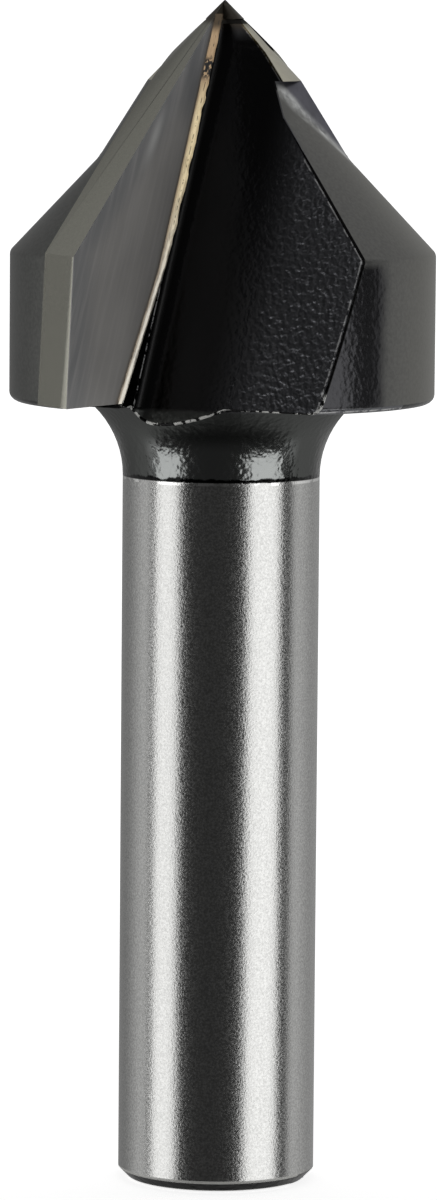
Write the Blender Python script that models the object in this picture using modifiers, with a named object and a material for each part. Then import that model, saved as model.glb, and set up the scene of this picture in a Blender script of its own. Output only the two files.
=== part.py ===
"""Two-flute V groove router bit: a turned and milled steel body on a straight shank, with a carbide tip
brazed into a pocket in each wing.

Metres, +Z up. The origin is the centre of the shank's flat end, and the point of the bit stands straight
above it. A depth is measured down from the point.
"""

import math

import bmesh
import bpy

# The whole tool
OVERALL_LENGTH = 0.0762
SHANK_DIAMETER = 0.0127
SHANK_END_CHAMFER = 0.00065

# What the cutting edges sweep
CUTTING_DIAMETER = 0.03175
POINT_ANGLE = math.radians(90)
CUTTING_DEPTH = 0.0254

# The turned head, which stands back from the cutting edges
HEAD_DIAMETER = 0.02736
HEAD_CONE_ANGLE = math.radians(86.5)
HEAD_CONE_SETBACK = 0.00157
HEAD_BELOW_TIPS = 0.0003
HEAD_EDGE_ROUNDING = 0.0006
NECK_FILLET_RADIUS = 0.0062
NECK_FILLET_SWEEP = math.radians(51)

# The nose, which backs the tips near the point
NOSE_CONE_ANGLE = math.radians(87.5)
NOSE_TOP_DEPTH = 0.0013
NOSE_BASE_DEPTH = 0.00513
NOSE_SHOULDER_ANGLE = math.radians(64)
HEEL_FLAT_OFFSET = 0.00414
HEEL_FLAT_TILT = math.radians(27.5)

# The two wings and the flutes in front of them
WING_AZIMUTH = math.radians(237.4)
RAKE_TILT = math.radians(3)
FLUTE_WEB = 0.0002
FLUTE_FLOOR_TILT = math.radians(17.7)
FLUTE_CORNER_RADIUS = 0.001

# The carbide tips and their brazed joints
TIP_THICKNESS = 0.0025
TIP_RELIEF_ANGLE = math.radians(10.5)
TIP_BEND_DEPTH = 0.0170
TIP_FOOT_WIDTH = 0.0058
TIP_PAST_AXIS = 0.0002
BRAZE_EDGE_WIDTH = 0.00048
BRAZE_BACK_THICKNESS = 0.00012
JOINT_CLEARANCE = 0.00002

# How finely the round faces are cut up, and how far a cutter passes what it cuts
TURNING_STEPS = 96
ARC_STEPS = 5
MERGE_DISTANCE = 0.000001
OVERCUT = 0.004

SHANK_RADIUS = SHANK_DIAMETER / 2
HEAD_RADIUS = HEAD_DIAMETER / 2
HEAD_BASE_DEPTH = CUTTING_DEPTH + HEAD_BELOW_TIPS
CUTTING_RADIUS = CUTTING_DIAMETER / 2
POINT_SLOPE = math.tan(POINT_ANGLE / 2)
CORNER_DEPTH = CUTTING_RADIUS / POINT_SLOPE
POCKET_DEPTH = TIP_THICKNESS + BRAZE_BACK_THICKNESS

# Name, colour, roughness and metallic value of each material
COATED_STEEL = ("coated_steel", (0.05, 0.05, 0.053), 0.35, 0.8)
CARBIDE = ("ground_carbide", (0.17, 0.17, 0.16), 0.32, 0.9)
BRAZE = ("silver_braze", (0.62, 0.50, 0.30), 0.38, 0.9)


def clear_scene():
    for obj in list(bpy.data.objects):
        bpy.data.objects.remove(obj, do_unlink=True)


def new_collection(name):
    collection = bpy.data.collections.new(name)
    bpy.context.scene.collection.children.link(collection)
    return collection


def new_material(look):
    name, colour, roughness, metallic = look
    material = bpy.data.materials.new(name)
    material.use_nodes = True
    material.diffuse_color = (*colour, 1)
    shader = material.node_tree.nodes["Principled BSDF"]
    shader.inputs["Base Color"].default_value = (*colour, 1)
    shader.inputs["Roughness"].default_value = roughness
    shader.inputs["Metallic"].default_value = metallic
    return material


def new_object(name, mesh, collection, parent=None, look=None):
    """An object that is a part if it has a look, and otherwise a shape that only cuts or limits parts."""
    obj = bpy.data.objects.new(name, mesh)
    collection.objects.link(obj)
    obj.parent = parent
    if look:
        mesh.materials.append(new_material(look))
    else:
        obj.hide_render = True
        obj.display_type = "WIRE"
    return obj


def boolean(obj, other, operation="DIFFERENCE"):
    """Every cut uses the manifold solver: the exact one leaves open edges where turned faces nearly meet."""
    modifier = obj.modifiers.new(f"{operation.lower()} {other.name}", "BOOLEAN")
    modifier.operation = operation
    modifier.solver = "MANIFOLD"
    modifier.object = other


def turned(name, profile, collection, look=None):
    """A solid of revolution from (radius, z) points that run down the outer side, from axis to axis."""
    mesh = bpy.data.meshes.new(name)
    edges = [(i, i + 1) for i in range(len(profile) - 1)]
    mesh.from_pydata([(r, 0, z) for r, z in profile], edges, [])
    obj = new_object(name, mesh, collection, look=look)
    screw = obj.modifiers.new("turn", "SCREW")
    screw.steps = screw.render_steps = TURNING_STEPS
    screw.use_merge_vertices = True
    screw.merge_threshold = MERGE_DISTANCE
    return obj


def prism(name, outlines, collection, parent=None, look=None):
    """A solid through flat outlines one behind the other, each with as many corners in the same order."""
    bm = bmesh.new()
    rings = [[bm.verts.new(p) for p in outline] for outline in outlines]
    for near, far in zip(rings, rings[1:]):
        for i in range(len(near)):
            bm.faces.new((near[i - 1], near[i], far[i], far[i - 1]))
    for end in (rings[0], rings[-1]):
        bm.faces.new(end)
    bmesh.ops.recalc_face_normals(bm, faces=bm.faces)
    mesh = bpy.data.meshes.new(name)
    bm.to_mesh(mesh)
    bm.free()
    return new_object(name, mesh, collection, parent, look)


def arc(centre, radius, start, end, steps=ARC_STEPS):
    """Profile points round a centre, with angles from straight out towards straight up."""
    angles = [start + (end - start) * i / steps for i in range(steps + 1)]
    return [(centre[0] + radius * math.cos(a), centre[1] + radius * math.sin(a)) for a in angles]


def height(depth):
    return OVERALL_LENGTH - depth


def head_and_shank_profile():
    half = HEAD_CONE_ANGLE / 2
    cone_top = height(HEAD_CONE_SETBACK)
    shoulder = cone_top - HEAD_RADIUS / math.tan(half)
    underside = height(HEAD_BASE_DEPTH)
    rounding = HEAD_EDGE_ROUNDING
    upper_centre = (HEAD_RADIUS - rounding, shoulder - rounding * math.tan(half / 2))
    lower_centre = (HEAD_RADIUS - rounding, underside + rounding)
    neck_centre = (
        SHANK_RADIUS + NECK_FILLET_RADIUS,
        underside - NECK_FILLET_RADIUS * math.sin(NECK_FILLET_SWEEP),
    )
    return [
        (0, cone_top),
        *arc(upper_centre, rounding, half, 0),
        *arc(lower_centre, rounding, 0, -math.pi / 2),
        *arc(neck_centre, NECK_FILLET_RADIUS, math.pi - NECK_FILLET_SWEEP, math.pi, 2 * ARC_STEPS),
        (SHANK_RADIUS, SHANK_END_CHAMFER),
        (SHANK_RADIUS - SHANK_END_CHAMFER, 0),
        (0, 0),
    ]


def nose_profile():
    """The nose's cone, flat under the point, and the steeper shoulder that runs down into the head's cone."""
    nose_slope = math.tan(NOSE_CONE_ANGLE / 2)
    head_slope = math.tan(HEAD_CONE_ANGLE / 2)
    shoulder_slope = math.tan(NOSE_SHOULDER_ANGLE / 2)
    base_radius = nose_slope * NOSE_BASE_DEPTH
    proud = base_radius - head_slope * (NOSE_BASE_DEPTH - HEAD_CONE_SETBACK)
    run = proud / (head_slope - shoulder_slope) + HEAD_EDGE_ROUNDING
    return [
        (0, height(NOSE_TOP_DEPTH)),
        (nose_slope * NOSE_TOP_DEPTH, height(NOSE_TOP_DEPTH)),
        (base_radius, height(NOSE_BASE_DEPTH)),
        (base_radius + shoulder_slope * run, height(NOSE_BASE_DEPTH + run)),
        (0, height(NOSE_BASE_DEPTH + run)),
    ]


def swept_profile():
    """What the cutting edges sweep as the bit turns. No part of a tip may stand outside it."""
    radius = CUTTING_RADIUS + JOINT_CLEARANCE
    return [
        (0, height(-JOINT_CLEARANCE)),
        (radius, height(CORNER_DEPTH)),
        (radius, height(HEAD_BASE_DEPTH + OVERCUT)),
        (0, height(HEAD_BASE_DEPTH + OVERCUT)),
    ]


def heel_flat(name, azimuth, collection):
    """The cutter for the flat on the nose behind a wing. Its level top leaves a ledge under the nose."""
    drop = HEAD_RADIUS
    top, foot = height(NOSE_BASE_DEPTH), height(NOSE_BASE_DEPTH + drop)
    outline = [
        (-HEAD_RADIUS, -HEEL_FLAT_OFFSET, top),
        (-HEAD_RADIUS, -HEEL_FLAT_OFFSET - drop * math.tan(HEEL_FLAT_TILT), foot),
        (-HEAD_RADIUS, -HEAD_DIAMETER, foot),
        (-HEAD_RADIUS, -HEAD_DIAMETER, top),
    ]
    across = [(x + HEAD_DIAMETER, y, z) for x, y, z in outline]
    cutter = prism(name, (outline, across), collection)
    cutter.rotation_euler = (0, 0, azimuth)
    return cutter


def flute_corner(depth):
    """How far from the axis, on the rake plane, the flute's corner begins to round into its floor."""
    return FLUTE_WEB / 2 + depth * math.tan(FLUTE_FLOOR_TILT)


def tip_inner_edge(gap, top, foot):
    """The tip's inner edge on the rake plane, from the top depth to the foot's, gap away from the joint."""
    foot_joint = CUTTING_RADIUS - TIP_FOOT_WIDTH - BRAZE_EDGE_WIDTH
    lean = (foot_joint - flute_corner(TIP_BEND_DEPTH)) / (CUTTING_DEPTH - TIP_BEND_DEPTH)
    return [
        (flute_corner(top) + gap, top),
        (flute_corner(TIP_BEND_DEPTH) + gap, TIP_BEND_DEPTH),
        (foot_joint + lean * (foot - CUTTING_DEPTH) + gap, foot),
    ]


def behind_rake(outline, distance):
    """Places (radius, depth) points in a wing's frame, the given distance behind its rake plane."""
    return [(r, -distance, -depth / math.cos(RAKE_TILT)) for r, depth in outline]


def wing_frame(name, azimuth, collection):
    """An empty at the point: +X out along the wing, +Y forward out of its rake plane, -Z down that plane."""
    frame = bpy.data.objects.new(name, None)
    collection.objects.link(frame)
    frame.empty_display_size = CUTTING_RADIUS / 2
    frame.location = (0, 0, OVERALL_LENGTH)
    frame.rotation_euler = (-RAKE_TILT, 0, azimuth)
    return frame


def flute(name, frame, collection):
    """The cutter for a flute: its back wall is the rake plane and its floor leans out towards the neck.

    The corner between them is rounded. Near the point the rounding shrinks, so that the web stays whole.
    """
    reach = CUTTING_DIAMETER
    floor_starts_leaning = FLUTE_CORNER_RADIUS / math.tan(FLUTE_FLOOR_TILT)

    def section(depth):
        corner = flute_corner(depth)
        rounding = min(FLUTE_CORNER_RADIUS, corner - FLUTE_WEB / 2)
        outline = [
            (reach, 0),
            *arc((corner, rounding), rounding, -math.pi / 2, -math.pi),
            (corner - rounding, reach),
            (reach, reach),
        ]
        return [(x, y, -depth / math.cos(RAKE_TILT)) for x, y in outline]

    depths = (NOSE_TOP_DEPTH / 2, floor_starts_leaning, HEAD_BASE_DEPTH + OVERCUT)
    return prism(name, [section(depth) for depth in depths], collection, frame)


def pocket(name, frame, collection):
    """The cutter for a tip's seat in the wing, open outwards and at both ends."""
    edge = tip_inner_edge(JOINT_CLEARANCE, NOSE_TOP_DEPTH - OVERCUT, HEAD_BASE_DEPTH + OVERCUT)
    outline = [*edge, (CUTTING_DIAMETER, edge[-1][1]), (CUTTING_DIAMETER, edge[0][1])]
    return prism(
        name, (behind_rake(outline, -OVERCUT), behind_rake(outline, POCKET_DEPTH)), collection, frame
    )


def carbide_tip(name, frame, collection):
    """A flat tip whose cutting edges lean back behind the rake plane by the relief angle.

    At the point it reaches a little past the axis, so that the two tips close it back to back.
    """
    top = NOSE_TOP_DEPTH - JOINT_CLEARANCE

    def outline(behind):
        relief = behind * math.tan(TIP_RELIEF_ANGLE)
        return [
            (JOINT_CLEARANCE, (JOINT_CLEARANCE + relief) / POINT_SLOPE),
            (-TIP_PAST_AXIS, (JOINT_CLEARANCE + relief + TIP_PAST_AXIS) / POINT_SLOPE),
            (-TIP_PAST_AXIS, top),
            *tip_inner_edge(BRAZE_EDGE_WIDTH, top, CUTTING_DEPTH),
            (CUTTING_RADIUS - relief, CUTTING_DEPTH),
            (CUTTING_RADIUS - relief, CORNER_DEPTH),
        ]

    front, back = outline(0), outline(TIP_THICKNESS)
    faces = (behind_rake(front, 0), behind_rake(back, TIP_THICKNESS))
    return prism(name, faces, collection, frame, CARBIDE)


def braze_filling(name, frame, collection):
    """Braze filling the whole pocket, before the tip's own room is taken out of it."""
    edge = tip_inner_edge(2 * JOINT_CLEARANCE, NOSE_TOP_DEPTH, CUTTING_DEPTH)
    outline = [*edge, (CUTTING_DIAMETER, edge[-1][1]), (CUTTING_DIAMETER, edge[0][1])]
    faces = (behind_rake(outline, 0), behind_rake(outline, POCKET_DEPTH - JOINT_CLEARANCE))
    return prism(name, faces, collection, frame, BRAZE)


def tip_room(name, frame, collection):
    """The room a tip takes in its pocket, with the joint's clearance round it."""
    gap = BRAZE_EDGE_WIDTH - JOINT_CLEARANCE
    edge = tip_inner_edge(gap, NOSE_TOP_DEPTH - OVERCUT, CUTTING_DEPTH + OVERCUT)
    reach = CUTTING_DIAMETER + OVERCUT
    outline = [*edge, (reach, edge[-1][1]), (reach, edge[0][1])]
    faces = (behind_rake(outline, -OVERCUT), behind_rake(outline, TIP_THICKNESS + JOINT_CLEARANCE))
    return prism(name, faces, collection, frame)


def turned_blank(name, parts, nose, look=None):
    blank = turned(name, head_and_shank_profile(), parts, look)
    boolean(blank, nose, "UNION")
    return blank


def shade_round(obj):
    obj.data.shade_smooth()
    obj.data.set_sharp_from_angle(angle=math.radians(30))


def main():
    clear_scene()
    parts = new_collection("v_groove_router_bit")
    cutters = new_collection("cutters")

    nose = turned("nose_blank", nose_profile(), cutters)
    swept = turned("swept_by_edges", swept_profile(), cutters)
    uncut = turned_blank("uncut_blank", cutters, nose)
    body = turned_blank("steel_body", parts, nose, COATED_STEEL)

    for side, azimuth in (("front", WING_AZIMUTH), ("rear", WING_AZIMUTH + math.pi)):
        boolean(nose, heel_flat(f"heel_flat_{side}", azimuth, cutters))
        frame = wing_frame(f"wing_{side}", azimuth, parts)
        boolean(body, flute(f"flute_{side}", frame, cutters))
        boolean(body, pocket(f"pocket_{side}", frame, cutters))

        tip = carbide_tip(f"carbide_tip_{side}", frame, parts)
        boolean(tip, swept, "INTERSECT")

        braze = braze_filling(f"braze_seam_{side}", frame, parts)
        boolean(braze, tip_room(f"tip_room_{side}", frame, cutters))
        boolean(braze, uncut, "INTERSECT")

    shade_round(body)


main()
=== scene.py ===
"""Looks for the V groove router bit: coated steel, ground carbide tips, braze and a bare shank."""

import math

import bmesh
import bpy
from mathutils import Matrix, Vector, noise


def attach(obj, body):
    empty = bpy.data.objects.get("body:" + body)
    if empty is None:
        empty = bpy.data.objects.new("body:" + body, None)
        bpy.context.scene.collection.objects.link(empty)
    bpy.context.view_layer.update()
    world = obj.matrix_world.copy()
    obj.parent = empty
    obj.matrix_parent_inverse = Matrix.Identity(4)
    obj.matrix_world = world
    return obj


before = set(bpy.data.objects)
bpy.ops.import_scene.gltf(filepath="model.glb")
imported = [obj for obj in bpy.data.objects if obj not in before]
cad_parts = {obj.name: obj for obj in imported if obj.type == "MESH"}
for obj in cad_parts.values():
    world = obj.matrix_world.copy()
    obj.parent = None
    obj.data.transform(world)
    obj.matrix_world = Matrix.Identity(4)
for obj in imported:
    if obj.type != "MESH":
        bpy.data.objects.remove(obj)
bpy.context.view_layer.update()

# The bit's own measures, in metres. Heights are from the shank's flat end, depths from the point down.
POINT_Z = 0.0762
COAT_Z = 0.0457
CHAMFER_Z = 0.0007
SHANK_RADIUS = 0.00635
HEAD_RADIUS = 0.01368
HEAD_CONE_SLOPE = math.tan(math.radians(43.25))
HEAD_CONE_SETBACK = 0.00157
HEAD_BASE_DEPTH = 0.0257
NOSE_CONE_SLOPE = math.tan(math.radians(43.75))
NOSE_BASE_DEPTH = 0.00513
NOSE_SHOULDER_SLOPE = math.tan(math.radians(32))
HEEL_FLAT_OFFSET = 0.00414
HEEL_FLAT_SLOPE = math.tan(math.radians(27.5))
CUTTING_RADIUS = 0.015875

# The wings: the way out along the front one, and the way ahead of its rake face, which leans back
WING_AZIMUTH = math.radians(237.4)
OUTWARD = Vector((math.cos(WING_AZIMUTH), math.sin(WING_AZIMUTH), 0))
AHEAD = Vector((-OUTWARD.y, OUTWARD.x, 0))
RAKE_SLOPE = math.tan(math.radians(3))

# The seam between tip and steel, which is also the corner of the flute as far as the bend
SEAM_START = 0.0001
SEAM_SLOPE = math.tan(math.radians(17.7))
SEAM_BEND_DEPTH = 0.0170
SEAM_FOOT_DEPTH = 0.0254
SEAM_FOOT_RADIUS = 0.009595
SEAM_FOOT_START = SEAM_START + SEAM_BEND_DEPTH * SEAM_SLOPE
SEAM_FOOT_SLOPE = (SEAM_FOOT_RADIUS - SEAM_FOOT_START) / (SEAM_FOOT_DEPTH - SEAM_BEND_DEPTH)
SEAM_WIDTH = 0.00048

# The flute's corner is rounded from that line in to its floor, and the floor's mask starts farther in
FLUTE_CORNER_RADIUS = 0.001
FLOOR_EDGE = -0.00125

# The bead of braze: how far it reaches past the seam, how proud it stands, and where the coat breaks it
BEAD_TOP_DEPTH = 0.0009
BEAD_FOOT_DEPTH = SEAM_FOOT_DEPTH - 0.0002
BEAD_INSIDE = 0.00058
BEAD_INSIDE_AT_FOOT = 0.00016
BEAD_NARROWS_DEPTH = 0.0140
BEAD_NARROWING_LENGTH = 0.0035
BEAD_LEVEL_INSIDE = 0.00017
BEAD_OUTSIDE = 0.00018
BEAD_HEIGHT = 0.00006
BEAD_SUNK = 0.00001
BEAD_LUMP_PITCH = 1 / 1500
BEAD_ROWS = 160
BEAD_COLUMNS = 9
BREAK_DEPTHS = (0.0037, 0.0050)

# Rounded edges, welds, and how fine the textures are
STEEL_EDGE = 0.00011
CARBIDE_EDGE = 0.00001
SHARP_ANGLE = math.radians(30)
FLAT_ANGLE = math.radians(0.5)
WELD_DISTANCE = 0.00002
BRAZE_WELD_DISTANCE = 0.000001
PEEL_PITCH = 0.00036
PEEL_HEIGHT = 0.00009
GRAIN_PITCH = 0.00013
GRAIN_HEIGHT = 0.000005

# The camera, as the photograph's perspective gives it
CAMERA_DISTANCE = 0.404
CAMERA_HEIGHT = 0.07977
CAMERA_PITCH = math.radians(5.957)
CAMERA_YAW = math.radians(-0.0155)
CAMERA_ROLL = math.radians(0.465)
CAMERA_LENS = 188.8

# The studio: a dark front, a pale backdrop, a wide floor, and softboxes aimed at the foot of the head
DARK_FRONT = 0.035
PALE_BACK = 0.36
FLOOR_HALF_SIDE = 40.0
FLOOR_GAP = 0.0001
LAMP_DISTANCE = 0.6
LAMP_AIM_Z = 0.05


class Nodes:
    """Adds nodes to an emptied tree. Any input may be a plain value, a colour or another node's output."""

    def __init__(self, tree):
        self.tree = tree
        tree.nodes.clear()

    def add(self, kind, inputs=None, **settings):
        node = self.tree.nodes.new(kind)
        for name, value in settings.items():
            setattr(node, name, value)
        for name, value in (inputs or {}).items():
            self.put(node.inputs[name], value)
        return node

    def put(self, socket, value):
        if isinstance(value, bpy.types.NodeSocket):
            self.tree.links.new(value, socket)
        elif socket.type == "RGBA":
            socket.default_value = (*value, 1)
        else:
            socket.default_value = value

    def math(self, operation, a, b=0.0, c=0.0):
        node = self.add("ShaderNodeMath", operation=operation)
        for socket, value in zip(node.inputs, (a, b, c)):
            self.put(socket, value)
        return node.outputs[0]

    def plus(self, a, b):
        return self.math("ADD", a, b)

    def minus(self, a, b):
        return self.math("SUBTRACT", a, b)

    def times(self, a, b):
        return self.math("MULTIPLY", a, b)

    def larger(self, a, b):
        return self.math("MAXIMUM", a, b)

    def smaller(self, a, b):
        return self.math("MINIMUM", a, b)

    def both(self, *masks):
        result = masks[0]
        for mask in masks[1:]:
            result = self.times(result, mask)
        return result

    def neither(self, *masks):
        return self.both(*(self.minus(1.0, mask) for mask in masks))

    def dot(self, a, b):
        node = self.add("ShaderNodeVectorMath", operation="DOT_PRODUCT")
        self.put(node.inputs[0], a)
        self.put(node.inputs[1], b)
        return node.outputs["Value"]

    def mix(self, factor, a, b):
        node = self.add("ShaderNodeMix", data_type="RGBA")
        for index, value in ((0, factor), (6, a), (7, b)):
            self.put(node.inputs[index], value)
        return node.outputs[2]

    def blend(self, factor, a, b):
        node = self.add("ShaderNodeMix", data_type="FLOAT")
        for index, value in ((0, factor), (2, a), (3, b)):
            self.put(node.inputs[index], value)
        return node.outputs[0]

    def step(self, value, low, high, start=0.0, end=1.0):
        """A smooth step from start to end as the value goes from low to high."""
        names = ("Value", "From Min", "From Max", "To Min", "To Max")
        inputs = dict(zip(names, (value, low, high, start, end)))
        return self.add("ShaderNodeMapRange", inputs, interpolation_type="SMOOTHSTEP").outputs[0]

    def before(self, value, low, high):
        """1 below low, falling to 0 at high."""
        return self.step(value, low, high, 1.0, 0.0)

    def near(self, value, centre, reach):
        """1 where the value is at the centre, falling to 0 at the reach on either side."""
        return self.before(self.math("ABSOLUTE", self.minus(value, centre)), 0.0, reach)

    def noise(self, vector, pitch, detail=2.0, roughness=0.5):
        inputs = {"Vector": vector, "Scale": 1 / pitch, "Detail": detail, "Roughness": roughness}
        return self.add("ShaderNodeTexNoise", inputs).outputs["Fac"]

    def joined(self, x, y, z):
        return self.add("ShaderNodeCombineXYZ", {"X": x, "Y": y, "Z": z}).outputs[0]

    def bump(self, height, distance, normal=None):
        inputs = {"Height": height, "Distance": distance, "Strength": 1.0}
        if normal:
            inputs["Normal"] = normal
        return self.add("ShaderNodeBump", inputs).outputs[0]

    def metal(self, inputs):
        shader = self.add("ShaderNodeBsdfPrincipled", inputs)
        self.add("ShaderNodeOutputMaterial", {"Surface": shader.outputs[0]})


class Place:
    """Where a shaded point lies on the bit, as node outputs.

    Besides its height, depth, radius and angle it has places in the frame of the wings: out from the axis
    along the nearer wing, aside from it, ahead of its rake face, and out from the flute's corner or the
    seam. Over is out too, but counted in the direction of the wing that the point lies in front of.
    """

    def __init__(self, n, at):
        x, self.y, self.z = n.add("ShaderNodeSeparateXYZ", {"Vector": at}).outputs
        self.depth = n.minus(POINT_Z, self.z)
        self.radius = n.math("SQRT", n.plus(n.times(x, x), n.times(self.y, self.y)))
        self.angle = n.math("ARCTAN2", self.y, x)

        along_front = n.dot(at, OUTWARD)
        aside_front = n.dot(at, AHEAD)
        self.out = n.math("ABSOLUTE", along_front)
        self.aside = n.math("ABSOLUTE", aside_front)
        self.over = n.times(n.math("SIGN", aside_front), along_front)
        ahead_at_point = n.times(n.math("SIGN", along_front), aside_front)
        self.ahead = n.math("MULTIPLY_ADD", self.depth, RAKE_SLOPE, ahead_at_point)

        corner = n.math("MULTIPLY_ADD", self.depth, SEAM_SLOPE, SEAM_START)
        below_bend = n.minus(self.depth, SEAM_BEND_DEPTH)
        foot = n.math("MULTIPLY_ADD", below_bend, SEAM_FOOT_SLOPE, SEAM_FOOT_START)
        self.from_corner = n.minus(self.out, corner)
        self.from_seam = n.minus(self.out, n.larger(corner, foot))


def new_material(name):
    """A new material, its Nodes, and the shaded point's coordinates."""
    material = bpy.data.materials.new(name)
    material.use_nodes = True
    n = Nodes(material.node_tree)
    return material, n, n.add("ShaderNodeTexCoord").outputs["Object"]


def head_cone(n, p):
    """The radius of the head's cone at the shaded point's depth."""
    return n.times(n.minus(p.depth, HEAD_CONE_SETBACK), HEAD_CONE_SLOPE)


def outside_heel_flat(n, p):
    """How far the shaded point lies outside the flat behind the nose."""
    start = HEEL_FLAT_OFFSET - NOSE_BASE_DEPTH * HEEL_FLAT_SLOPE
    return n.minus(p.aside, n.math("MULTIPLY_ADD", p.depth, HEEL_FLAT_SLOPE, start))


def inside_blank(n, p):
    """How far the shaded point lies inside the turned blank of the head and nose."""
    shoulder_start = NOSE_BASE_DEPTH * (NOSE_CONE_SLOPE - NOSE_SHOULDER_SLOPE)
    shoulder = n.math("MULTIPLY_ADD", p.depth, NOSE_SHOULDER_SLOPE, shoulder_start)
    nose = n.smaller(n.times(p.depth, NOSE_CONE_SLOPE), shoulder)
    blank = n.smaller(HEAD_RADIUS, n.larger(head_cone(n, p), nose))
    return n.minus(blank, p.radius)


class SteelFaces:
    """Masks for the faces of the steel body, as node outputs: 1 on the face and 0 off it.

    Inside_blank is a distance, and so is the one past the painted highlight streak, and cloud is a noise that
    the coat's colour uses too.
    """

    def __init__(self, n, at, p):
        self.inside_blank = inside_blank(n, p)
        self.neck = n.step(p.depth, HEAD_BASE_DEPTH, HEAD_BASE_DEPTH + 0.0003)
        self.below_nose = n.step(p.depth, NOSE_BASE_DEPTH - 0.00002, NOSE_BASE_DEPTH + 0.00002)
        past_floor_edge = n.step(p.from_corner, FLOOR_EDGE - 0.00003, FLOOR_EDGE + 0.00003)
        off_floor = n.minus(1.0, n.both(past_floor_edge, n.step(p.over, 0.0, 0.0001)))
        from_cone = n.minus(p.radius, head_cone(n, p))
        by_cone = n.step(n.near(from_cone, 0.0, 0.00012), 0.1, 0.5)
        self.cone = n.both(by_cone, self.below_nose, off_floor)
        turned = n.larger(n.before(self.inside_blank, 0.00004, 0.00009), self.cone)
        self.nose = n.both(turned, n.minus(1.0, self.below_nose))
        self.body = n.both(turned, self.below_nose, n.minus(1.0, self.neck))
        by_flat = n.near(outside_heel_flat(n, p), 0.0, 0.0002)
        self.flat = n.both(by_flat, self.below_nose, n.before(p.depth, 0.0115, 0.0120), off_floor)
        self.flute = n.neither(turned, self.neck, self.flat)
        self.far_in_flute = n.step(p.ahead, 0.0042, 0.0088)
        self.corner = n.both(
            self.flute,
            n.step(p.from_corner, -0.00095, -0.0008),
            n.before(p.from_corner, 0.0, 0.0001),
        )
        self.shank = n.both(
            n.before(p.z, COAT_Z - 0.00004, COAT_Z + 0.00004),
            n.step(p.z, CHAMFER_Z - 0.0001, CHAMFER_Z + 0.00005),
        )

        # The painted dark reflection by the heel and the painted highlight streak across the flat have
        # clouded edges
        self.cloud = n.noise(at, 0.004, 3)
        wavy_over = n.math("MULTIPLY_ADD", self.cloud, 0.0016, n.minus(p.over, 0.0008))
        self.near_heel = n.both(
            self.body,
            n.step(p.depth, 0.0162, 0.0168),
            n.step(wavy_over, 0.0017, 0.0030),
        )
        self.past_highlight_streak = n.minus(n.math("MULTIPLY_ADD", p.depth, 0.93, p.over), 0.0056)
        wavy_highlight_streak = n.plus(self.past_highlight_streak, n.times(n.minus(self.cloud, 0.5), 0.0012))
        self.highlight_streak = n.both(
            n.near(wavy_highlight_streak, 0.0, 0.0012),
            self.below_nose,
            n.before(p.depth, 0.0096, 0.0118),
            n.minus(1.0, self.flute),
        )


def neck_colour(n, at, p):
    """The coat on the neck: paler in front and behind as a painted highlight, and blacker in an uneven band
    by the shank as painted shade.
    """
    facing = n.math("ABSOLUTE", n.math("DIVIDE", p.y, p.radius))
    # Painted highlight: the lower neck is paler where it faces the camera or away from it
    painted_highlight = n.both(n.step(facing, 0.66, 0.80), n.step(p.depth, 0.0274, 0.0286))
    colour = n.mix(painted_highlight, (0.092, 0.096, 0.092), (0.27, 0.28, 0.275))
    # Painted shade: an uneven near-black band along the coat's lower edge, just above the shank
    above_shank = n.minus(p.z, COAT_Z - 0.0003)
    wavy_above = n.math("MULTIPLY_ADD", n.noise(at, 0.0008, 3.0, 0.6), -0.0006, above_shank)
    return n.mix(n.before(wavy_above, 0.00018, 0.00030), colour, (0.01, 0.01, 0.01))


def nose_colour(n, p):
    """Bare turned steel, browned at the very point."""
    lathe_marks = n.noise(n.joined(n.times(p.angle, 0.002), 0.0, p.z), 0.0003, 3)
    bare = n.mix(lathe_marks, (0.62, 0.59, 0.48), (0.80, 0.77, 0.64))
    return n.mix(n.step(p.depth, 0.0012, 0.0020), (0.16, 0.14, 0.10), bare)


def shank_colour(n, at, p, grain):
    """Bare ground steel, with a broken painted highlight along its top edge where the coat was turned off."""
    bare = n.mix(grain, (0.44, 0.44, 0.43), (0.68, 0.68, 0.665))
    broken = n.step(n.noise(at, 0.0009, 3.0), 0.42, 0.5)
    # Painted highlight: a pale broken line along the shank's top edge, just below the coat
    rim = n.both(n.step(p.z, COAT_Z - 0.00022, COAT_Z - 0.00016), broken)
    return n.mix(rim, bare, (0.95, 0.95, 0.93))


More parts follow.
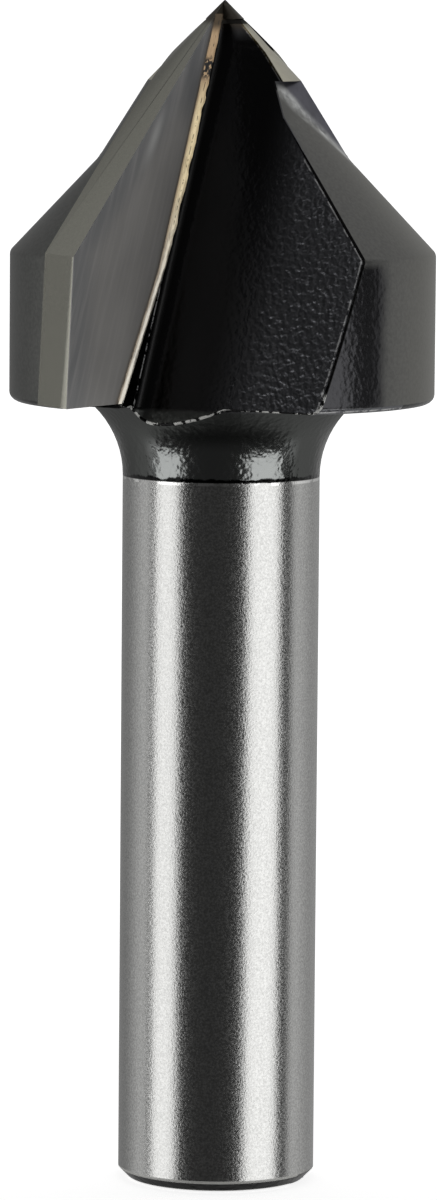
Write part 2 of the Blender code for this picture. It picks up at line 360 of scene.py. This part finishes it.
def coat_colour(n, at, p, faces):
    """The coat: near-black in the flutes, greener and more satin on the turned faces, with painted sheen,
    highlights, shade and a dark reflection in places.
    """
    satin = n.mix(faces.cloud, (0.100, 0.103, 0.098), (0.145, 0.147, 0.140))
    # Painted sheen: the coat on the turned faces grades paler towards the heel's side
    painted_heel_sheen = n.mix(n.step(p.over, -0.0076, 0.0030), (0.30, 0.295, 0.265), (0.135, 0.135, 0.130))
    heel_side = n.step(n.math("DIVIDE", p.over, p.radius), -0.64, -0.5)
    satin = n.mix(heel_side, satin, painted_heel_sheen)
    speck = n.step(n.noise(at, 0.00022, 2.0, 0.6), 0.3, 0.7, 0.0, 0.22)
    satin = n.mix(speck, satin, n.mix(0.5, satin, (0.45, 0.45, 0.42)))

    # Painted sheen: the flute's coat grows paler farther ahead of the rake face
    flute = n.mix(faces.far_in_flute, (0.042, 0.042, 0.044), (0.165, 0.168, 0.180))
    coat = n.mix(faces.flute, n.mix(faces.neck, satin, neck_colour(n, at, p)), flute)
    # Painted dark reflection: the coat is darker in the patch by the heel
    coat = n.mix(faces.near_heel, coat, (0.05, 0.05, 0.053))
    # Painted shade deep in the flute's rounded corner
    corner_shade = n.times(faces.corner, n.near(p.from_corner, -0.0005, 0.0004))
    coat = n.mix(corner_shade, coat, (0.02, 0.02, 0.02))

    # The flat behind the nose takes the painted sheen, and is darker and bluer beyond a painted highlight
    # streak that runs down to the silhouette
    blued = n.mix(n.noise(at, 0.0009, 4), (0.08, 0.08, 0.10), (0.21, 0.21, 0.245))
    flat = n.mix(n.before(faces.past_highlight_streak, -0.0006, 0.0003), painted_heel_sheen, blued)
    coat = n.mix(faces.flat, coat, flat)
    # Painted highlight: a pale streak, broken up by noise, across the flat and down to the silhouette
    streak_breaks = n.step(n.noise(at, 0.0008, 4), 0.30, 0.65, 0.25, 1.0)
    coat = n.mix(n.times(faces.highlight_streak, streak_breaks), coat, (0.90, 0.91, 0.90))
    coat = n.mix(faces.nose, coat, nose_colour(n, p))

    # The flute's edge by the nose is browned, and the flute is dark right under the point
    by_nose = n.both(faces.flute, n.before(p.depth, NOSE_BASE_DEPTH - 0.0006, NOSE_BASE_DEPTH))
    browned = n.times(by_nose, n.near(faces.inside_blank, 0.0001, 0.0002))
    coat = n.mix(browned, coat, (0.20, 0.15, 0.06))
    under_point = n.times(by_nose, n.before(p.depth, 0.0014, 0.0022))
    return n.mix(under_point, coat, (0.03, 0.025, 0.02))


def steel_bump(n, at, p, faces, grain):
    """The coat's orange peel, coarse where it lies thick, and the fine grain of ground steel."""
    in_open_flute = n.both(faces.flute, n.minus(1.0, faces.corner))
    amount = n.times(in_open_flute, n.blend(faces.far_in_flute, 0.25, 1.0))
    for mask, share in ((faces.neck, 0.45), (faces.near_heel, 0.3), (faces.body, 0.06)):
        amount = n.plus(amount, n.times(mask, share))
    peel = n.times(n.noise(at, PEEL_PITCH, 1.0, 0.4), amount)
    coat_edge = n.step(p.z, COAT_Z, COAT_Z + 0.00025, 0.0, 0.6)
    relief = n.times(n.plus(peel, coat_edge), n.minus(1.0, faces.shank))
    bumped = n.bump(relief, PEEL_HEIGHT)

    around = n.joined(n.times(p.angle, SHANK_RADIUS), 0.0, n.times(p.z, 3.0))
    grinding = n.noise(around, 0.0004, 3)
    fine = n.blend(faces.shank, n.times(grain, 0.1), n.plus(n.times(grain, 0.8), grinding))
    return n.bump(fine, GRAIN_HEIGHT, bumped)


def steel_roughness(n, p, faces, grain):
    """How rough each face is: least on the shank and low on the neck, and most on the painted highlight
    streak.
    """
    roughness = n.blend(faces.flute, 0.36, n.blend(faces.far_in_flute, 0.2, 0.34))
    roughness = n.blend(faces.neck, roughness, n.step(p.depth, 0.0262, 0.0285, 0.42, 0.18))
    roughness = n.blend(faces.near_heel, roughness, 0.24)
    roughness = n.blend(faces.highlight_streak, roughness, 0.5)
    return n.blend(faces.shank, roughness, n.blend(grain, 0.16, 0.26))


def edge_wear_and_foot_highlight(n, at, p, chips):
    """Where the rounded edges are worn bare in dashes round the neck, and painted with a highlight all round
    the shank's foot.
    """
    dashes = n.step(chips, 0.48, 0.54)
    long_gaps = n.step(n.noise(at, 0.0022, 2.0), 0.40, 0.46)
    by_neck = n.both(dashes, long_gaps, n.step(p.depth, 0.0243, 0.0247))
    # Painted highlight: every rounded edge low on the shank's foot is pale
    return n.larger(by_neck, n.before(p.z, 0.002, 0.003))


def wear_on_faces(n, p, faces, chips):
    """Where the faces are chipped bare: along the flute's corner below the seam's bend, and by the heel."""
    along_corner = n.both(
        n.near(p.from_corner, 0.0, 0.00012),
        n.near(p.ahead, 0.0, 0.0002),
        n.step(p.depth, 0.0165, 0.0180),
    )
    beside_heel = n.both(
        n.near(faces.inside_blank, 0.00021, 0.00009),
        n.step(p.ahead, 0.001, 0.002),
        n.step(p.depth, 0.0085, 0.0110, 0.4, 1.0),
        faces.flute,
        n.minus(1.0, faces.cone),
    )
    return n.both(n.larger(along_corner, beside_heel), n.step(chips, 0.44, 0.52))


def steel_material(name, for_edges=False):
    """Black coated steel with an orange-peel skin, ground bare on the shank and on the nose.

    The narrow rounded edges carry the same coat, but worn through in places, and a painted highlight all
    round the shank's foot.
    """
    material, n, at = new_material(name)
    p = Place(n, at)
    faces = SteelFaces(n, at, p)
    grain = n.step(n.noise(at, GRAIN_PITCH, 2.0, 0.6), 0.25, 0.75)
    chips = n.noise(at, 0.0006, 3.0, 0.7)
    if for_edges:
        # Bright marks on the edges: worn coat round the neck, and a painted highlight round the shank's foot
        bright_marks = edge_wear_and_foot_highlight(n, at, p, chips)
        colour = n.mix(bright_marks, (0.012, 0.012, 0.012), (0.80, 0.80, 0.77))
        roughness = n.blend(bright_marks, 0.3, 0.5)
    else:
        bright_marks = wear_on_faces(n, p, faces, chips)
        bare = shank_colour(n, at, p, grain)
        colour = n.mix(faces.shank, coat_colour(n, at, p, faces), bare)
        # Painted shade: the chamfer at the shank's foot is near-black
        chamfer_shade = n.before(p.z, CHAMFER_Z - 0.0001, CHAMFER_Z)
        colour = n.mix(chamfer_shade, colour, (0.015, 0.015, 0.015))
        colour = n.mix(bright_marks, colour, (0.75, 0.75, 0.75))
        roughness = steel_roughness(n, p, faces, grain)

    # The little step of steel between the two tips is dull and dark
    step_at_point = n.before(p.depth, 0.00150, 0.00156)
    colour = n.mix(step_at_point, colour, (0.045, 0.042, 0.036))
    roughness = n.blend(step_at_point, roughness, 0.9)
    metallic = n.blend(step_at_point, n.blend(bright_marks, 1.0, 0.3), 0.3)
    bumped = steel_bump(n, at, p, faces, grain)
    n.metal({"Base Color": colour, "Metallic": metallic, "Roughness": roughness, "Normal": bumped})
    return material


def rake_colour(n, p, streaks):
    """The rake face of a tip: cool along the cutting edges, warmer inside, and browned beside the seam."""
    mottle = n.noise(n.joined(p.from_corner, 0.0, n.times(p.z, 0.5)), 0.0022, 3.0)
    cool = n.mix(mottle, (0.32, 0.325, 0.33), (0.42, 0.42, 0.425))
    warm = n.mix(mottle, (0.42, 0.41, 0.40), (0.58, 0.565, 0.54))
    from_edge = n.smaller(n.minus(p.depth, p.out), n.minus(CUTTING_RADIUS, p.out))
    colour = n.mix(n.step(from_edge, 0.0005, 0.0035), cool, warm)
    colour = n.mix(n.step(streaks, 0.40, 0.75, 0.0, 0.4), colour, (0.68, 0.66, 0.64))
    # Painted highlight: a pale fuzzy patch partway down the rake face
    from_highlight_patch = n.minus(n.math("MULTIPLY_ADD", p.depth, -0.5, p.out), 0.0031)
    highlight_patch = n.both(n.near(from_highlight_patch, 0.0, 0.0008), n.near(p.depth, 0.0086, 0.0026))
    colour = n.mix(n.times(highlight_patch, 0.8), colour, (0.80, 0.80, 0.78))
    # A darker bluish patch beside the seam's top
    dark_patch = n.both(n.near(p.from_corner, 0.0012, 0.0016), n.near(p.depth, 0.0056, 0.0032))
    colour = n.mix(n.times(dark_patch, 0.6), colour, (0.22, 0.23, 0.25))
    # Browned beside the seam
    brown_edge = n.near(p.from_seam, SEAM_WIDTH + 0.0001, 0.00045)
    return n.mix(n.times(brown_edge, 0.7), colour, (0.22, 0.16, 0.10))


def carbide_material():
    """Ground carbide: olive grey where it is relieved, and streaked on the rake face."""
    material, n, at = new_material("ground_carbide")
    p = Place(n, at)
    on_rake = n.step(p.ahead, -0.00006, -0.00003)
    streaks = n.noise(n.joined(p.from_corner, 0.0, n.times(p.z, 0.06)), 0.0005, 3.0, 0.6)
    speck = n.noise(at, 0.00016, 3.0, 0.6)
    relieved = n.mix(speck, (0.24, 0.238, 0.205), (0.32, 0.316, 0.275))
    colour = n.mix(on_rake, relieved, rake_colour(n, p, streaks))
    # Dark brown at the very point, and painted shade on the tip's side inward of the seam
    point_and_inner_shade = n.larger(n.before(p.depth, 0.0012, 0.0017), n.before(p.from_corner, 0.0, 0.0001))
    colour = n.mix(point_and_inner_shade, colour, (0.07, 0.06, 0.045))

    bumped = n.bump(n.plus(n.times(streaks, on_rake), n.times(speck, 0.5)), 0.000004)
    roughness = n.blend(on_rake, 0.22, n.blend(streaks, 0.45, 0.55))
    metallic = n.blend(on_rake, 1.0, 0.45)
    n.metal({"Base Color": colour, "Metallic": metallic, "Roughness": roughness, "Normal": bumped})
    return material


def braze_material():
    """Braze: salmon gold near the point, black where the coat ran over it, paler and creamier lower down."""
    material, n, at = new_material("braze")
    p = Place(n, at)
    blobs = n.noise(at, 0.0005, 3.0, 0.6)
    upper = n.mix(blobs, (0.28, 0.19, 0.11), (0.40, 0.29, 0.18))
    middle = n.mix(blobs, (0.52, 0.40, 0.22), (0.80, 0.69, 0.46))
    lower = n.mix(blobs, (0.50, 0.46, 0.39), (0.70, 0.67, 0.60))
    colour = n.mix(n.step(p.depth, 0.0045, 0.0075), upper, middle)
    colour = n.mix(n.step(p.depth, 0.0100, 0.0190), colour, lower)
    colour = n.mix(n.before(p.depth, 0.0015, 0.0023), colour, (0.06, 0.045, 0.03))
    # The outer part of the bead, below the point, is darker brown
    brown_edge = n.both(n.step(p.from_seam, 0.00032, 0.00058), n.step(p.depth, 0.0045, 0.0060))
    colour = n.mix(n.times(brown_edge, 0.8), colour, (0.16, 0.12, 0.08))

    # Black: the coat smeared over the bead in one place, dots along its groove, and painted shade on what
    # lies in the pocket
    start, end = BREAK_DEPTHS
    smeared = n.both(
        n.step(p.depth, start - 0.0002, start + 0.0002),
        n.before(p.depth, end - 0.0003, end + 0.0003),
        n.step(n.noise(at, 0.0003, 2.0), 0.40, 0.46),
    )
    dotted = n.both(
        n.near(p.from_seam, 0.00010, 0.00006),
        n.step(n.noise(at, 0.0003, 2.0), 0.48, 0.56),
        n.before(p.depth, 0.0140, 0.0150),
    )
    # Painted shade: the braze inside the tip's pocket is black
    pocket_shade = n.before(p.ahead, -0.0004, -0.0001)
    black = n.larger(n.larger(smeared, dotted), pocket_shade)
    colour = n.mix(black, colour, (0.02, 0.02, 0.02))

    # The bead leans out and a little down, so that it catches the light all along
    leaning = n.bump(n.times(n.math("MULTIPLY_ADD", p.depth, 0.15, p.out), -0.5), 1.0)
    bumped = n.bump(blobs, 0.00003, leaning)
    n.metal({"Base Color": colour, "Metallic": 0.9, "Roughness": 0.30, "Normal": bumped})
    return material


def smooth_by_angle():
    """A modifier's node group that drops the imported normals and smooths faces between sharp edges.

    It also gives the sharp edges the weight that rounds them, but not round the tips' pockets or by the nose.
    """
    group = bpy.data.node_groups.new("smooth_by_angle", "GeometryNodeTree")
    for way in ("INPUT", "OUTPUT"):
        group.interface.new_socket("Geometry", in_out=way, socket_type="NodeSocketGeometry")
    n = Nodes(group)
    inputs = {"Geometry": n.add("NodeGroupInput").outputs[0], "Name": "custom_normal"}
    clean = n.add("GeometryNodeRemoveAttribute", inputs).outputs[0]
    smooth = n.add("GeometryNodeSetShadeSmooth", {"Geometry": clean}).outputs[0]
    angle = n.add("GeometryNodeInputMeshEdgeAngle").outputs["Unsigned Angle"]
    inputs = {"A": angle, "B": SHARP_ANGLE}
    sharp = n.add("FunctionNodeCompare", inputs, operation="GREATER_THAN").outputs[0]
    inputs = {"Geometry": smooth, "Selection": sharp, "Shade Smooth": False}
    sharpened = n.add("GeometryNodeSetShadeSmooth", inputs, domain="EDGE").outputs[0]

    p = Place(n, n.add("GeometryNodeInputPosition").outputs[0])
    by_pocket = n.both(n.step(p.ahead, -0.0045, -0.0040), n.before(p.ahead, -0.0008, -0.0005))
    by_nose = n.before(p.depth, 0.0092, 0.0095)
    inputs = {
        "Geometry": sharpened,
        "Selection": sharp,
        "Name": "bevel_weight_edge",
        "Value": n.neither(by_pocket, by_nose),
    }
    weighed = n.add("GeometryNodeStoreNamedAttribute", inputs, domain="EDGE").outputs[0]
    n.add("NodeGroupOutput", {"Geometry": weighed})
    return group


def dress(name, materials, edge, smoothing):
    """Gives a CAD node its looks: materials, clean faces, smooth shading and, with an edge, round edges.

    The rounding is clamped where it would overlap itself, on the finer edges only.
    """
    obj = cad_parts[name]
    obj.data.materials.clear()
    for material in materials:
        obj.data.materials.append(material)
    weld = obj.modifiers.new("weld", "WELD")
    weld.merge_threshold = WELD_DISTANCE if edge else BRAZE_WELD_DISTANCE
    flat = obj.modifiers.new("join flat faces", "DECIMATE")
    flat.decimate_type = "DISSOLVE"
    flat.angle_limit = FLAT_ANGLE
    obj.modifiers.new("smooth", "NODES").node_group = smoothing
    if edge:
        bevel = obj.modifiers.new("round edges", "BEVEL")
        bevel.width = edge
        bevel.segments = 2
        bevel.limit_method = "WEIGHT"
        bevel.use_clamp_overlap = edge < STEEL_EDGE
        bevel.harden_normals = True
        bevel.material = len(materials) - 1


def seam_point(depth, across, proud, side):
    """A point on a seam: across it from its inner side, and proud of the rake plane."""
    inner = SEAM_START + depth * SEAM_SLOPE
    if depth > SEAM_BEND_DEPTH:
        inner = SEAM_FOOT_START + (depth - SEAM_BEND_DEPTH) * SEAM_FOOT_SLOPE
    ahead = proud - depth * RAKE_SLOPE
    return (OUTWARD * (inner + across) + AHEAD * ahead) * side + Vector((0, 0, POINT_Z - depth))


def bead_section(depth, side):
    """Points across the bead: a lumpy, grooved dome, whose inner part climbs the flute's rounded corner."""
    narrowed = min(1.0, max(0.0, (depth - BEAD_NARROWS_DEPTH) / BEAD_NARROWING_LENGTH))
    inside = BEAD_INSIDE + (BEAD_INSIDE_AT_FOOT - BEAD_INSIDE) * narrowed
    for column in range(BEAD_COLUMNS):
        share = column / (BEAD_COLUMNS - 1)
        dome = math.sin(math.pi * share) ** 0.7
        groove = 1 - 0.55 * math.exp(-(((share - 0.62) / 0.1) ** 2))
        lump = 1 + 0.5 * noise.noise(Vector((depth / BEAD_LUMP_PITCH, share * 2, side * 7)))
        across = -inside + (SEAM_WIDTH + inside + BEAD_OUTSIDE) * share
        into_corner = max(0.0, -across - BEAD_LEVEL_INSIDE)
        rise = FLUTE_CORNER_RADIUS - math.sqrt(FLUTE_CORNER_RADIUS**2 - into_corner**2)
        proud = -BEAD_SUNK + BEAD_HEIGHT * dome * groove * lump + rise
        yield seam_point(depth, across, proud, side)


def braze_bead(name, side, material):
    """The low uneven bead of braze that stands in a seam."""
    bm = bmesh.new()
    rings = []
    for row in range(BEAD_ROWS + 1):
        depth = BEAD_TOP_DEPTH + (BEAD_FOOT_DEPTH - BEAD_TOP_DEPTH) * row / BEAD_ROWS
        rings.append([bm.verts.new(point) for point in bead_section(depth, side)])
    for near, far in zip(rings, rings[1:]):
        for i in range(BEAD_COLUMNS - 1):
            bm.faces.new((near[i], near[i + 1], far[i + 1], far[i]))
    bmesh.ops.recalc_face_normals(bm, faces=bm.faces)
    for face in bm.faces:
        face.smooth = True
    mesh = bpy.data.meshes.new(name)
    bm.to_mesh(mesh)
    bm.free()
    mesh.materials.append(material)
    bead = bpy.data.objects.new(name, mesh)
    bpy.context.scene.collection.objects.link(bead)
    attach(bead, "root")


def make_camera():
    """The camera in front of the bit, pitched down a little and hardly turned or rolled."""
    data = bpy.data.cameras.new("camera")
    data.sensor_width = 36
    data.lens = CAMERA_LENS
    data.clip_start = 0.01
    data.clip_end = 100
    camera = bpy.data.objects.new("camera", data)
    bpy.context.scene.collection.objects.link(camera)
    forward = Vector((
        math.sin(CAMERA_YAW) * math.cos(CAMERA_PITCH),
        math.cos(CAMERA_YAW) * math.cos(CAMERA_PITCH),
        -math.sin(CAMERA_PITCH),
    ))
    level = Vector((math.cos(CAMERA_YAW), -math.sin(CAMERA_YAW), 0))
    up = level.cross(forward)
    across = level * math.cos(CAMERA_ROLL) + up * math.sin(CAMERA_ROLL)
    over = up * math.cos(CAMERA_ROLL) - level * math.sin(CAMERA_ROLL)
    turn = Matrix((across, over, -forward)).transposed().to_4x4()
    camera.matrix_world = Matrix.Translation((0, -CAMERA_DISTANCE, CAMERA_HEIGHT)) @ turn
    bpy.context.scene.camera = camera


def make_floor():
    """A pale floor that keeps a soft shadow by the bit and runs into a white backdrop farther out.

    The softboxes reach below its level, and it doesn't shade them.
    """
    side = FLOOR_HALF_SIDE
    corners = ((-side, -side, 0), (side, -side, 0), (side, side, 0), (-side, side, 0))
    mesh = bpy.data.meshes.new("floor")
    mesh.from_pydata(corners, [], [(0, 1, 2, 3)])
    floor = bpy.data.objects.new("floor", mesh)
    bpy.context.scene.collection.objects.link(floor)
    floor.location.z = -FLOOR_GAP
    floor.visible_glossy = False
    floor.visible_shadow = False

    material, n, at = new_material("pale_floor")
    away = n.add("ShaderNodeVectorMath", {0: at}, operation="LENGTH").outputs["Value"]
    diffuse = n.add("ShaderNodeBsdfDiffuse", {"Color": (0.85, 0.85, 0.85)}).outputs[0]
    whiter = n.step(away, 0.01, 0.12, 0.86, 1.0)
    glow = n.add("ShaderNodeEmission", {"Color": (1, 1, 1), "Strength": whiter}).outputs[0]
    seen = n.add("ShaderNodeAddShader", {0: diffuse, 1: glow}).outputs[0]
    camera_ray = n.add("ShaderNodeLightPath").outputs["Is Camera Ray"]
    surface = n.add("ShaderNodeMixShader", {0: camera_ray, 1: diffuse, 2: seen}).outputs[0]
    n.add("ShaderNodeOutputMaterial", {"Surface": surface})
    mesh.materials.append(material)


def softbox(name, azimuth, elevation, width, tall, level):
    """A lamp aimed at the foot of the head, at angles seen from there.

    The azimuth is from the camera's side, positive right. The width and height are angles too, and the
    level is how bright its face is, where white paper is 1.
    """
    data = bpy.data.lights.new(name, "AREA")
    data.shape = "RECTANGLE"
    data.size = 2 * LAMP_DISTANCE * math.tan(math.radians(width / 2))
    data.size_y = 2 * LAMP_DISTANCE * math.tan(math.radians(tall / 2))
    data.energy = level * math.pi * data.size * data.size_y
    lamp = bpy.data.objects.new(name, data)
    bpy.context.scene.collection.objects.link(lamp)
    a = math.radians(azimuth)
    e = math.radians(elevation)
    away = Vector((math.sin(a) * math.cos(e), -math.cos(a) * math.cos(e), math.sin(e)))
    lamp.location = Vector((0, 0, LAMP_AIM_Z)) + away * LAMP_DISTANCE
    lamp.rotation_euler = away.to_track_quat("Z", "Y").to_euler()


def make_world():
    """The studio round the bit: dark in front, pale behind, and white where the camera looks past it."""
    world = bpy.data.worlds.new("studio")
    bpy.context.scene.world = world
    world.use_nodes = True
    n = Nodes(world.node_tree)
    toward = n.add("ShaderNodeTexCoord").outputs["Generated"]
    right, back, _ = n.add("ShaderNodeSeparateXYZ", {"Vector": toward}).outputs
    behind = n.minus(back, n.math("MULTIPLY_ADD", right, 0.02, 0.02))
    light = n.add("ShaderNodeLightPath").outputs
    far_behind = n.step(right, -0.5, 0.5, 0.24, 0.36)
    reflected = n.step(behind, 0.10, 0.75, 0.62, far_behind)
    pale = n.blend(light["Is Glossy Ray"], PALE_BACK, reflected)
    level = n.step(behind, -0.05, 0.05, DARK_FRONT, pale)
    shown = n.larger(light["Is Camera Ray"], light["Is Transmission Ray"])
    strength = n.blend(shown, level, 1.0)
    background = n.add("ShaderNodeBackground", {"Color": (1, 1, 1), "Strength": strength})
    n.add("ShaderNodeOutputWorld", {"Surface": background.outputs[0]})


smoothing = smooth_by_angle()
steel = steel_material("coated_steel")
worn_and_lit_edges = steel_material("worn_and_lit_coat_edges", for_edges=True)
carbide = carbide_material()
braze = braze_material()
dress("steel_body", (steel, worn_and_lit_edges), STEEL_EDGE, smoothing)
for wing, side in (("front", 1), ("rear", -1)):
    dress(f"carbide_tip_{wing}", (carbide,), CARBIDE_EDGE, smoothing)
    dress(f"braze_seam_{wing}", (braze,), 0, smoothing)
    braze_bead(f"braze_bead_{wing}", side, braze)

make_floor()
make_world()
softbox("left_softbox", azimuth=-66, elevation=-14, width=32, tall=44, level=1.45)
softbox("right_softbox", azimuth=53, elevation=-14, width=41, tall=44, level=1.5)
make_camera()
bpy.context.scene.view_settings.view_transform = "Standard"
